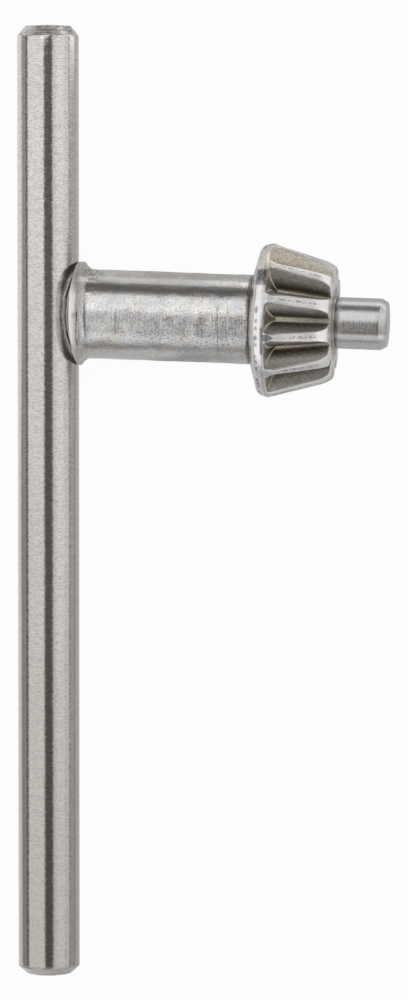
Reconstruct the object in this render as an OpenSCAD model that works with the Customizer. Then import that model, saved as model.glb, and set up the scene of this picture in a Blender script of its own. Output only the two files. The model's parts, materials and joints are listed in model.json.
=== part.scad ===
// Drill chuck key: a round T-handle bar with a forged and turned key welded
// to its side. The key carries a bevel pinion with closed-back V tooth spaces
// and a pilot pin. Millimetres, lying at rest on z = 0.

/* [Handle bar] */
// Length of the handle bar, end to end
bar_length = 110; // [92:1:160]
// Diameter of the handle bar
bar_diameter = 7.1; // [6.4:0.1:8.4]
// Distance from the bar's short end to the key's axis
short_arm = 33; // [20:1:44]
// Length of the chamfer on the short end
short_end_chamfer = 1.15; // [0.4:0.05:2]
// Length of the chamfer on the long end
long_end_chamfer = 0.85; // [0.4:0.05:2]
// Depth of both chamfers, measured across the bar
chamfer_depth = 0.95; // [0.3:0.05:1.6]
// Height of the slight dome on both end faces
end_dome = 0.1; // [0.02:0.01:0.3]

/* [Shank] */
// Diameter of the shank
shank_diameter = 10.3; // [9:0.1:11.2]
// Length from the lip's end to the pinion's back
shank_length = 20.2; // [12:0.1:32]
// Diameter of the flared lip at the handle
lip_diameter = 11.9; // [11.6:0.1:13]
// Length of the lip at its full diameter
lip_land = 0.4; // [0.2:0.05:1]
// Length of the hollow flare from the lip down to the shank
lip_flare = 1.15; // [0.6:0.05:2.4]
// How far the lip's edge droops over the sides of the bar
lip_droop = 0.33; // [0.15:0.01:0.6]
// Lean of the key out of square, towards the bar's long arm, in degrees
key_lean = 1.7; // [0:0.1:3]

/* [Weld] */
// Air left between the lip and the side of the bar
weld_gap = 0.1; // [0.05:0.01:0.3]
// How far the weld stays inside the lip's edge
weld_edge = 0.1; // [0.05:0.01:0.3]
// Fullness of the weld's outline: 2 is an ellipse, more is squarer
weld_fullness = 2.25; // [2:0.05:3]
// Width of the bar left bare on each side of the weld
weld_inset = 0.42; // [0.2:0.02:0.9]
// Number of thin flash fins squeezed out round the weld
fin_count = 2; // [1:1:2]
// Thickness of a flash fin
fin_thickness = 0.14; // [0.08:0.01:0.18]
// Distance from one flash fin to the next
fin_pitch = 0.3; // [0.25:0.01:0.34]
// How far a flash fin stands out of the weld
fin_height = 0.17; // [0.08:0.01:0.3]

/* [Pinion] */
// Number of teeth
tooth_count = 12; // [8:1:14]
// Turn of the tooth spaces about the key's axis, in degrees
tooth_phase = -4.2; // [-15:0.1:15]
// Largest diameter of the pinion, at its rim
rim_diameter = 17.7; // [16.6:0.1:19.6]
// Slope of the pinion's back face, measured from the key's axis, in degrees
back_angle = 74; // [60:1:80]
// Radius of the rounded corner between the back face and the rim
back_corner = 0.7; // [0.4:0.05:1]
// Length of the rough band behind the rim
band_length = 0.6; // [0.3:0.05:1]
// Slope of the rough band, in degrees
band_angle = 15; // [8:1:24]
// Length of the rim at its full diameter
rim_land = 0.7; // [0.4:0.05:1.2]
// Length of the cone that the tooth crests lie on
crest_length = 5.2; // [4:0.1:7]
// Slope of the tooth crests, in degrees
crest_angle = 16.8; // [10:0.1:20]
// Length over which the crests round off at the front
nose_length = 1.5; // [0.8:0.1:2]
// Radius of that rounding
nose_radius = 4; // [3.6:0.1:7]
// Distance from the start of the rim to the closed end of a tooth space
space_start = 0.28; // [0.1:0.02:0.4]
// Depth of a tooth space at its closed end
space_depth = 2.65; // [2:0.05:2.9]
// Slope of the tooth root, in degrees
root_angle = 12.1; // [8:0.1:14]
// Lean of the wall that closes the space, in degrees
back_wall_angle = 21.7; // [10:0.1:35]
// Width of the flat strip at the bottom of the space
root_width = 0.4; // [0.2:0.05:0.7]
// Radius of the convex tooth flank
flank_radius = 2.7; // [2.5:0.05:2.8]
// Lean of the flank where it leaves the root, in degrees
flank_lean = 8; // [4:1:10]
// Lean of the flank where it reaches the crest, in degrees
crest_lean = 70; // [66:1:74]
// Width of a tooth space at the rim
mouth_width = 3.3; // [2.4:0.1:3.9]
// Distance over which the mouth opens from that to its full width
mouth_flare = 1.1; // [0.6:0.1:2]
// Angle at which each side of the mouth opens, in degrees
mouth_angle = 21; // [10:1:30]

/* [Pilot pin] */
// Diameter of the pilot pin
pin_diameter = 5.9; // [5:0.1:6.6]
// Length of the pin, from the pinion's front to its end
pin_length = 6.15; // [4:0.05:9]
// Length of the chamfer on the pin's end
pin_chamfer_length = 0.75; // [0.3:0.05:1.2]
// Depth of that chamfer, measured across the pin
pin_chamfer_depth = 0.38; // [0.2:0.02:0.8]
// How far the collar at the pin's root stands out past the pin
collar_step = 0.2; // [0.16:0.02:0.4]
// Length of the collar
collar_length = 0.25; // [0.15:0.05:0.5]
// Depth of the turned groove between the collar and the pin
neck_depth = 0.18; // [0.16:0.02:0.4]
// Length of that groove
neck_length = 0.2; // [0.1:0.05:0.5]
// Rise of the front face from its edge to the collar
face_rise = 0.12; // [0.05:0.01:0.3]

/* [Hidden] */
$fn = 96;

// Radii, and places along the key's axis counted from the bar's axis
bar_r = bar_diameter / 2;
shank_r = shank_diameter / 2;
lip_r = lip_diameter / 2;
rim_r = rim_diameter / 2;
pin_r = pin_diameter / 2;
long_arm = bar_length - short_arm;
lip_x = bar_r + weld_gap;
edge_x = lip_x - lip_droop;
land_x = lip_x + lip_land;
back_x = lip_x + shank_length;

// A length that passes right through the key from side to side
through = 2 * lip_diameter;

// The pinion's back: a steep cone, a round corner and the rough band
band_r = rim_r - band_length * tan(band_angle);
corner_r = band_r - back_corner * (cos(band_angle) - cos(back_angle));
corner_x = back_x + (corner_r - shank_r) / tan(back_angle);
band_x = corner_x + back_corner * (sin(back_angle) - sin(band_angle));
rim_x = band_x + band_length;
crest_x = rim_x + rim_land;

// The crests' cone, its rounded nose and the front face
nose_x = crest_x + crest_length;
nose_r = rim_r - crest_length * tan(crest_angle);
face_angle = asin(sin(crest_angle) + nose_length / nose_radius);
face_x = nose_x + nose_length;

// The pilot pin, its collar and the groove between them
collar_r = pin_r + collar_step;
collar_x = face_x + face_rise;
neck_r = pin_r - neck_depth;
neck_x = collar_x + collar_length;
pin_x = neck_x + neck_length;
tip_x = face_x + pin_length;

// Where the bottom of a tooth space begins
root_r = rim_r - space_depth;
root_x = rim_x + space_start + space_depth * tan(back_wall_angle);

// Arcs of the turned profile, as points of radius and place along the axis
steps = 8;
corner_arc = [for (i = [0:steps])
    let (a = back_angle + (band_angle - back_angle) * i / steps)
    [corner_r + back_corner * (cos(a) - cos(back_angle)),
     corner_x + back_corner * (sin(back_angle) - sin(a))]];
nose_arc = [for (i = [0:steps])
    let (a = crest_angle + (face_angle - crest_angle) * i / steps)
    [nose_r - nose_radius * (cos(crest_angle) - cos(a)),
     nose_x + nose_radius * (sin(a) - sin(crest_angle))]];
flare_arc = [for (i = [0:steps])
    let (t = i / steps)
    [shank_r + (lip_r - shank_r) * pow(1 - t, 2), land_x + lip_flare * t]];

// At rest the key lies on its lip's drooping edge and on its rim: the slope
// of the line that touches both
rest_points = concat(corner_arc, [[rim_r, rim_x]]);
rest_tilt = max([for (p = rest_points) atan((p[0] - lip_r) / (p[1] - edge_x))]);
floor_z = edge_x * sin(rest_tilt) - lip_r * cos(rest_tilt);

// The long arm droops until its end touches the floor too. The sine of the
// droop is the larger root of a quadratic in the reach to that end.
reach = long_arm - end_dome - long_end_chamfer;
reach_sq = pow(reach, 2) + pow(bar_r, 2);
droop_sine = (reach * floor_z
    + sqrt(pow(reach * floor_z, 2) - reach_sq * (pow(floor_z, 2) - pow(bar_r, 2))))
    / reach_sq;
rest_roll = asin((sin(key_lean) * sin(rest_tilt) - droop_sine)
    / (cos(key_lean) * cos(rest_tilt)));

// The turn about the upright that lays the bar along Y, long arm to -Y
arm_x = sin(key_lean) * cos(rest_tilt) + cos(key_lean) * sin(rest_roll) * sin(rest_tilt);
arm_y = -cos(key_lean) * cos(rest_roll);
rest_yaw = -90 - atan2(arm_y, arm_x);

// The middle of the footprint, which the origin lies under
tip_reach = tip_x * cos(rest_tilt) * cos(rest_yaw);
middle_x = (tip_reach - bar_r) / 2;
middle_y = (short_arm - long_arm) / 2;

// Lays the key and its bar down as they come to rest
module at_rest() {
    translate([-middle_x, -middle_y, -floor_z])
        rotate([0, 0, rest_yaw])
            rotate([0, -rest_tilt, 0])
                rotate([rest_roll, 0, 0])
                    children();
}

// Turns what is built along +Z to lie along the bar, short end to +Y
module along_bar() {
    rotate([0, 0, key_lean])
        rotate([-90, 0, 0])
            children();
}

// Turns what is built along +Z to lie along the key's axis
module along_key() {
    rotate([0, 90, 0])
        children();
}

// The handle bar: ground rod, chamfered and slightly domed at both ends
module handle_bar() {
    end_r = bar_r - chamfer_depth;
    color([0.71, 0.7, 0.69])
        at_rest()
            along_bar()
                translate([0, 0, -long_arm])
                    rotate_extrude()
                        polygon([
                            [0, 0],
                            [end_r, end_dome],
                            [bar_r, end_dome + long_end_chamfer],
                            [bar_r, bar_length - end_dome - short_end_chamfer],
                            [end_r, bar_length - end_dome],
                            [0, bar_length]
                        ]);
}

// Lip, shank, pinion blank and pilot pin, turned as one
module turned_blank() {
    start_x = edge_x - lip_droop;
    along_key()
        rotate_extrude()
            polygon(concat(
                [[0, start_x], [lip_r, start_x]],
                flare_arc,
                [[shank_r, back_x]],
                corner_arc,
                [[rim_r, rim_x], [rim_r, crest_x]],
                nose_arc,
                [[collar_r, collar_x], [collar_r, neck_x]],
                [[neck_r, neck_x], [neck_r, pin_x], [pin_r, pin_x]],
                [[pin_r, tip_x - pin_chamfer_length]],
                [[pin_r - pin_chamfer_depth, tip_x], [0, tip_x]]
            ));
}

// The wide hollow that lets the lip's edge droop over the sides of the bar
module lip_hollow() {
    hollow_r = (pow(lip_r, 2) + pow(lip_droop, 2)) / (2 * lip_droop);
    translate([lip_x - hollow_r, 0, 0])
        along_bar()
            cylinder(r = hollow_r, h = through, center = true, $fn = 360);
}

// The weld: a prism along the key's axis, from the bar's axis into the lip,
// whose outline is a superellipse that is narrower across the bar
module weld_prism(half_width) {
    half_length = lip_r - weld_edge;
    points = 48;
    along_key()
        linear_extrude(height = land_x)
            polygon([for (i = [0:points - 1])
                let (a = 360 * i / points)
                [half_width * sign(cos(a)) * pow(abs(cos(a)), 2 / weld_fullness),
                 half_length * sign(sin(a)) * pow(abs(sin(a)), 2 / weld_fullness)]]);
}

// A thin shell round the bar, which cuts one flash fin out of a wider weld
module flash_fin(number) {
    inner_r = bar_r + number * fin_pitch;
    intersection() {
        weld_prism(bar_r - weld_inset + fin_height);
        along_bar()
            difference() {
                cylinder(r = inner_r + fin_thickness, h = through, center = true);
                cylinder(r = inner_r, h = 2 * through, center = true);
            }
    }
}

// The outline of a tooth space across its root: a flat strip between two
// convex flanks, which rise straight once they reach the crests
module space_section() {
    crest_half = root_width / 2 + flank_radius * (cos(flank_lean) - cos(crest_lean));
    difference() {
        translate([-crest_half, 0])
            square([2 * crest_half, 2 * space_depth]);
        for (side = [-1, 1])
            translate([side * (root_width / 2 + flank_radius * cos(flank_lean)),
                       -flank_radius * sin(flank_lean)])
                intersection() {
                    circle(r = flank_radius);
                    translate([-flank_radius, 0])
                        square([2 * flank_radius, flank_radius]);
                }
    }
}

// The outline of a tooth space seen from outside: narrow at its closed end,
// opening to its full width towards the front
module space_mouth() {
    open_half = mouth_width / 2 + mouth_flare * tan(mouth_angle);
    clear_half = 2 * mouth_width;
    ahead = 2 * (face_x - rim_x);
    polygon([
        [0, -mouth_width / 2],
        [mouth_flare, -open_half],
        [mouth_flare, -clear_half],
        [ahead, -clear_half],
        [ahead, clear_half],
        [mouth_flare, clear_half],
        [mouth_flare, open_half],
        [0, mouth_width / 2]
    ]);
}

// One tooth space: the section run along the sloping root, closed at the
// back by the leaning wall of the mouth's outline
module tooth_space() {
    run = 2 * (face_x - root_x);
    translate([root_x, 0, root_r])
        intersection() {
            rotate([0, root_angle, 0])
                translate([-space_depth, 0, 0])
                    rotate([90, 0, 90])
                        linear_extrude(height = space_depth + run)
                            space_section();
            rotate([0, -back_wall_angle, 0])
                translate([0, 0, -run])
                    linear_extrude(height = 2 * run + 2 * space_depth)
                        space_mouth();
        }
}

// The key: blank, weld and flash in one piece, seated on the bar
module key_body() {
    color([0.66, 0.64, 0.61])
        at_rest()
            difference() {
                union() {
                    difference() {
                        turned_blank();
                        lip_hollow();
                    }
                    weld_prism(bar_r - weld_inset);
                    for (number = [1:fin_count])
                        flash_fin(number);
                }
                along_bar()
                    cylinder(r = bar_r, h = through, center = true);
                for (i = [0:tooth_count - 1])
                    rotate([tooth_phase + i * 360 / tooth_count, 0, 0])
                        tooth_space();
            }
}

handle_bar();
key_body();
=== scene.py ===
"""The looks of a drill chuck key: a ground bar, a forged and turned key, and a pale studio round them.

The file is laid out as a Blender add-on. Lengths on the panel are in metres. Inside the builders they are in
millimetres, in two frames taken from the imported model: one along the key's axis and one along the bar's. Both
surfaces are grids: rings of points, one after another along an axis, closed by a fan at each end.
"""

import json
import math
from types import SimpleNamespace

import bmesh
import bpy
import numpy as np
from bpy.props import FloatProperty, FloatVectorProperty, IntProperty, PointerProperty
from mathutils import Matrix, Vector


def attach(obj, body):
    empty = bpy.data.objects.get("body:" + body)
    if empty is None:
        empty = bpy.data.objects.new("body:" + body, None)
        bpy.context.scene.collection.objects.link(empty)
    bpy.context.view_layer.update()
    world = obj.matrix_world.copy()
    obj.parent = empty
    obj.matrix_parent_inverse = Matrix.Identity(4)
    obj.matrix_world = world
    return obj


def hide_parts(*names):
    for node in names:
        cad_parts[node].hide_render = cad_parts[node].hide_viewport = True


bl_info = {
    "name": "Drill chuck key",
    "version": (1, 0, 0),
    "blender": (4, 5, 0),
    "location": "3D View > Sidebar > Chuck key",
    "description": "Dresses a drill chuck key in ground and forged steel and sets it in a pale studio",
    "category": "Object",
}

MM = 0.001
WHITE = (1.0, 1.0, 1.0, 1.0)

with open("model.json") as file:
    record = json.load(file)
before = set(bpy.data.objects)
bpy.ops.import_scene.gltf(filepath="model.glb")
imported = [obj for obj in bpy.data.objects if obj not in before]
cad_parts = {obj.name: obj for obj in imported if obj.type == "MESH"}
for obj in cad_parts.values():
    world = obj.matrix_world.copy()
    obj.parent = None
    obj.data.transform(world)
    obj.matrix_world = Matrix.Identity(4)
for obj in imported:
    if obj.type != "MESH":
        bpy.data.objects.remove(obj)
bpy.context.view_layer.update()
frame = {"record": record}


class Axes:
    """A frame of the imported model: an origin in metres and three unit axes, with lengths along them in mm."""

    def __init__(self, origin, x, y, z):
        self.origin = np.array(origin, float)
        self.turn = np.stack([x, y, z], 1)

    def place(self, points):
        """Points in mm along the axes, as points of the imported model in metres."""
        return self.origin + MM * (np.asarray(points) @ self.turn.T)

    def euler(self):
        """The turn of the axes, as a Mapping node takes it."""
        return tuple(Matrix(self.turn.tolist()).to_euler())


def unit(vector):
    """The vector at a length of 1."""
    return np.asarray(vector, float) / np.linalg.norm(vector)


def read_axes():
    """The key's and the bar's frames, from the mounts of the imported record.

    The pilot's axis is the key's X. The bar's axis, towards its short end, is the bar's Y. Both frames share
    the point where the two axes meet, and Z points up from the plane that they span.
    """
    mounts = {mount["name"]: mount for mount in frame["record"]["mounts"]}
    along_key = unit(mounts["pilot"]["axis"])
    along_bar = -unit(mounts["handle_long_arm"]["axis"])
    up = unit(np.cross(along_key, along_bar))
    pilot, arm = (np.array(mounts[name]["pos_m"]) for name in ("pilot", "handle_long_arm"))
    rows = np.stack([along_key, -along_bar, up], 1)
    back, _, _ = np.linalg.solve(rows, pilot - arm)
    meeting = pilot - back * along_key
    key = Axes(meeting, along_key, np.cross(up, along_key), up)
    bar = Axes(meeting, np.cross(along_bar, up), along_bar, up)
    return key, bar


KEY_AXES, BAR_AXES = read_axes()


def length(name, description, value):
    """A length property whose default is given in mm."""
    return FloatProperty(name=name, description=description, default=value * MM, min=0.0, precision=5,
                         subtype="DISTANCE", unit="LENGTH")


def angle(name, description, value):
    """An angle property whose default is given in degrees."""
    return FloatProperty(name=name, description=description, default=math.radians(value), subtype="ANGLE",
                         unit="ROTATION")


def level(name, description, value):
    """A brightness property, where 1 is white."""
    return FloatProperty(name=name, description=description, default=value, min=0.0, max=4.0)


def colour(name, description, red, green, blue):
    """A colour property, as linear light."""
    return FloatVectorProperty(name=name, description=description, subtype="COLOR", min=0.0, max=1.0,
                               default=(red, green, blue))


def in_mm(group):
    """A property group as plain values: lengths in mm, angles in radians, counts as they are."""
    values = {}
    for name, kind in group.bl_rna.properties.items():
        if name not in ("rna_type", "name"):
            value = getattr(group, name)
            values[name] = value / MM if kind.unit == "LENGTH" else value
    return SimpleNamespace(**values)


class BarSizes(bpy.types.PropertyGroup):
    """The bar's sizes"""

    bar_length: length("Bar length", "From end to end", 110.0)
    bar_radius: length("Bar radius", "Of the ground rod", 3.55)
    short_arm: length("Short arm", "From the key's axis to the bar's short end", 33.0)
    short_chamfer: length("Short end chamfer", "Length of the chamfer on the short end", 1.15)
    long_chamfer: length("Long end chamfer", "Length of the chamfer on the long end", 0.85)
    chamfer_depth: length("Chamfer depth", "Depth of both chamfers, across the bar", 0.95)
    end_dome: length("End dome", "Height of the dome on both end faces", 0.1)
    end_tear: length("End tear", "Depth of the torn marks on the cropped end faces", 0.12)


class KeySizes(bpy.types.PropertyGroup):
    """The key's sizes, from the weld to the pin"""

    key_lean: angle("Key lean", "Lean of the key out of square to the bar", 1.7)
    lip_gap: length("Lip gap", "Air between the lip and the bar's side", 0.1)
    lip_radius: length("Lip radius", "Of the flared lip", 5.95)
    lip_land: length("Lip land", "Length of the lip at its full radius", 0.4)
    lip_flare: length("Lip flare", "Length of the hollow flare from the lip to the shank", 1.15)
    lip_droop: length("Lip droop", "How far the lip's edge droops over the bar's sides", 0.33)
    shank_radius: length("Shank radius", "Of the shank", 5.15)
    shank_length: length("Shank length", "From the lip to the pinion's back", 20.2)
    weld_edge: length("Weld edge", "How far the weld stays inside the lip's edge", 0.1)
    weld_inset: length("Weld inset", "Bar left bare on each side of the weld", 0.5)
    weld_fullness: FloatProperty(name="Weld fullness", description="Outline of the weld: 2 is an ellipse",
                                 default=2.25, min=2.0, max=4.0)
    fin_thickness: length("Fin thickness", "Of a flash fin", 0.14)
    fin_pitch: length("Fin pitch", "From one flash fin to the next", 0.3)
    fin_height: length("Fin height", "How far a flash fin stands out", 0.17)
    rim_radius: length("Rim radius", "Of the pinion's rim", 8.85)
    back_angle: angle("Back angle", "Slope of the pinion's back face", 74.0)
    back_corner: length("Back corner", "Radius between the back face and the rough band", 0.7)
    band_length: length("Band length", "Of the rough band behind the rim", 0.6)
    band_angle: angle("Band angle", "Slope of the rough band", 15.0)
    rim_land: length("Rim land", "Length of the rim at its full radius", 0.7)
    crest_length: length("Crest length", "Of the cone that the tooth crests lie on", 5.2)
    crest_angle: angle("Crest angle", "Slope of the tooth crests", 16.8)
    nose_length: length("Nose length", "Over which the crests round off", 1.5)
    nose_radius: length("Nose radius", "Of that rounding", 4.0)
    face_rise: length("Face rise", "Of the front face, from its edge to the collar", 0.12)
    tooth_count: IntProperty(name="Teeth", description="Number of teeth", default=12, min=8, max=14)
    tooth_phase: angle("Tooth phase", "Turn of the tooth spaces about the key's axis", -4.2)
    space_start: length("Space start", "From the start of the rim to a space's closed end", 0.28)
    space_depth: length("Space depth", "Of a tooth space at its closed end", 2.65)
    root_angle: angle("Root angle", "Slope of the tooth root", 12.1)
    wall_angle: angle("Wall angle", "Lean of the wall that closes a tooth space", 21.7)
    root_width: length("Root width", "Of the flat strip at the bottom of a space", 0.4)
    flank_radius: length("Flank radius", "Of the convex tooth flank", 2.7)
    flank_lean: angle("Flank lean", "Of the flank where it leaves the root", 8.0)
    crest_lean: angle("Crest lean", "Of the flank where it reaches the crest", 70.0)
    mouth_width: length("Mouth width", "Of a tooth space at the rim", 3.3)
    mouth_flare: length("Mouth flare", "Over which the mouth opens", 1.1)
    mouth_angle: angle("Mouth angle", "At which each side of the mouth opens", 21.0)
    edge_wear: length("Edge wear", "Width of the worn round on a tooth's edges", 0.09)
    pin_radius: length("Pin radius", "Of the pilot pin", 2.95)
    pin_length: length("Pin length", "From the pinion's front face to the pin's end", 6.15)
    pin_chamfer_length: length("Pin chamfer length", "Along the pin", 0.75)
    pin_chamfer_depth: length("Pin chamfer depth", "Across the pin", 0.38)
    collar_step: length("Collar step", "How far the collar stands out past the pin", 0.2)
    collar_length: length("Collar length", "Of the collar at the pin's root", 0.25)
    neck_depth: length("Neck depth", "Of the turned groove behind the pin", 0.18)
    neck_length: length("Neck length", "Of that groove", 0.2)
    forge_relief: length("Forge relief", "Depth of the hollows that forging leaves", 0.05)
    nick_depth: length("Nick depth", "Depth of the nicks round the lip", 0.05)
    lap_place: length("Lap place", "From the lip's land to the lap of flash on its flare", 0.16)
    lap_width: length("Lap width", "Half width of the lap", 0.07)
    lap_height: length("Lap height", "How far the lap stands out", 0.13)
    lap_start: angle("Lap start", "Turn about the axis where the lap starts", -7.0)
    lap_end: angle("Lap end", "Turn about the axis where the lap ends", 40.0)


def smooth_step(value, low, high):
    """0 up to low, 1 from high on, and 3t^2 - 2t^3 of the share t between them."""
    share = np.clip((value - low) / (high - low), 0.0, 1.0)
    return share * share * (3 - 2 * share)


class Lumps:
    """Smooth noise from 0 to 1: a seeded lattice of random values, blended by smooth steps between them."""

    SIDE = 32

    def __init__(self, seed):
        self.lattice = np.random.default_rng(seed).random((self.SIDE,) * 3)

    def __call__(self, points, size):
        """The noise at points, in lumps of the given size, which is one number or one an axis."""
        place = np.asarray(points) / np.asarray(size)
        cell = np.floor(place).astype(int)
        share = smooth_step(place - cell, 0.0, 1.0)
        value = np.zeros(place.shape[:-1])
        for corner in np.ndindex(2, 2, 2):
            weight = np.prod(np.where(corner, share, 1 - share), -1)
            x, y, z = np.moveaxis((cell + corner) % self.SIDE, -1, 0)
            value += weight * self.lattice[x, y, z]
        return value

    def layered(self, points, size, layers=3):
        """Layers of noise, each half as large and half as strong as the last, from 0 to 1."""
        weights = 0.5 ** np.arange(layers)
        total = sum(weight * self(np.asarray(points) + 9.7 * i, np.asarray(size) * weight)
                    for i, weight in enumerate(weights))
        return total / weights.sum()


def round_corners(profile, reach):
    """An open outline with each inner corner replaced by a short quadratic Bezier curve.

    The curve starts on one side, at most reach and at most a set share of that side before the corner, has
    the corner as its control point, and ends on the other side by the same rule.
    """
    largest_share = 0.4
    profile = np.asarray(profile, float)
    points = [profile[0]]
    for before, corner, after in zip(profile[:-2], profile[1:-1], profile[2:]):
        sides = (before - corner, after - corner)
        start, end = (corner + side * min(reach / np.linalg.norm(side), largest_share) for side in sides)
        points.extend((1 - t) ** 2 * start + 2 * t * (1 - t) * corner + t * t * end for t in (0.0, 0.5, 1.0))
    points.append(profile[-1])
    return np.array(points)


def refine(profile, step):
    """An open outline with points added so that none are further than step apart."""
    points = [profile[0]]
    for first, last in zip(profile[:-1], profile[1:]):
        count = max(1, math.ceil(np.linalg.norm(last - first) / step))
        points.extend(first + (last - first) * i / count for i in range(1, count + 1))
    return np.array(points)


def along(line):
    """Distance from a polyline's start to each of its points."""
    return np.concatenate([[0.0], np.cumsum(np.linalg.norm(np.diff(line, axis=0), axis=1))])


def walk(line, shares):
    """Points on a polyline at the given shares of its length."""
    distance = along(line)
    return np.stack([np.interp(np.asarray(shares) * distance[-1], distance, part) for part in line.T], 1)


def relieve(rings, heights):
    """The rings moved along their surface's outward normal by heights, in mm.

    The normal is the cross product of the step from ring to ring and the step round the ring.
    """
    outward = np.cross(np.gradient(rings, axis=0), np.roll(rings, -1, 1) - np.roll(rings, 1, 1))
    size = np.linalg.norm(outward, axis=-1, keepdims=True)
    outward = np.divide(outward, size, out=np.zeros_like(outward), where=size > 1e-9)
    return rings + outward * heights[..., None]


def skin(name, rings, axes, **marks):
    """A closed mesh over rings of points: quads between neighbouring rings and a fan at each end.

    rings holds rings, points and three numbers, in mm along axes, and each ring closes on itself. marks are
    values for each point, which the mesh keeps as attributes for its material.
    """
    count, side = rings.shape[:2]
    ends = np.stack([rings[0].mean(0), rings[-1].mean(0)])
    points = axes.place(np.concatenate([rings.reshape(-1, 3), ends]))
    here = np.arange(side)
    beside = np.roll(here, -1)
    starts = np.arange(count - 1)[:, None] * side
    quads = np.stack([starts + here, starts + side + here, starts + side + beside, starts + beside], -1)
    last = (count - 1) * side
    fans = np.concatenate([np.stack([here, beside, np.full(side, count * side)], 1),
                           np.stack([last + beside, last + here, np.full(side, count * side + 1)], 1)])
    mesh = bpy.data.meshes.new(name)
    mesh.from_pydata(points.tolist(), [], quads.reshape(-1, 4).tolist() + fans.tolist())
    for mark, values in marks.items():
        layer = mesh.attributes.new(mark, "FLOAT", "POINT")
        layer.data.foreach_set("value", np.append(values.ravel(), (values[0].mean(), values[-1].mean())))
    merge_and_smooth(mesh)
    piece = bpy.data.objects.new(name, mesh)
    bpy.context.scene.collection.objects.link(piece)
    return piece


def merge_and_smooth(mesh):
    """Merges points that coincide, turns the faces outwards and keeps edges over 35 degrees sharp."""
    gap = 0.0005 * MM
    work = bmesh.new()
    work.from_mesh(mesh)
    bmesh.ops.remove_doubles(work, verts=work.verts, dist=gap)
    bmesh.ops.dissolve_degenerate(work, edges=work.edges, dist=gap)
    bmesh.ops.recalc_face_normals(work, faces=work.faces)
    work.to_mesh(mesh)
    work.free()
    mesh.shade_smooth()
    mesh.set_sharp_from_angle(angle=math.radians(35))


def bar_rings(sizes):
    """The bar as rings about its own axis, Y: a ground rod between two chamfers and two cropped end faces.

    The rings are close together on both ends and wide apart between them. The end faces are domed and torn:
    layered noise, stretched into streaks across the face, sinks them, and fades out at the chamfer.
    """
    close, wide, around = 0.14, 1.2, 192
    innermost, eased = 0.05, 0.1
    low, high = sizes.short_arm - sizes.bar_length, sizes.short_arm
    end_radius = sizes.bar_radius - sizes.chamfer_depth
    profile = round_corners([
        (low, innermost), (low + sizes.end_dome, end_radius),
        (low + sizes.end_dome + sizes.long_chamfer, sizes.bar_radius),
        (high - sizes.end_dome - sizes.short_chamfer, sizes.bar_radius),
        (high - sizes.end_dome, end_radius), (high, innermost)], eased)
    half = len(profile) // 2
    long_end, short_end = (refine(part, close) for part in (profile[:half], profile[half:]))
    between = refine(profile[half - 1:half + 1], wide)[1:-1]
    place, radius = np.concatenate([long_end, between, short_end]).T
    turns = np.linspace(0.0, 2 * np.pi, around, endpoint=False)
    rings = np.stack([radius[:, None] * np.sin(turns), place[:, None] + 0 * turns,
                      radius[:, None] * np.cos(turns)], -1)
    streaks = Lumps(seed=3).layered(rings, size=(1.3, 9.0, 0.3))
    on_face = 1 - smooth_step(radius, end_radius - 0.4, end_radius + 0.2)[:, None]
    sunk = sizes.end_tear * smooth_step(streaks, 0.4, 0.8) * on_face
    rings[..., 1] -= np.sign(place)[:, None] * sunk
    return rings


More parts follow.
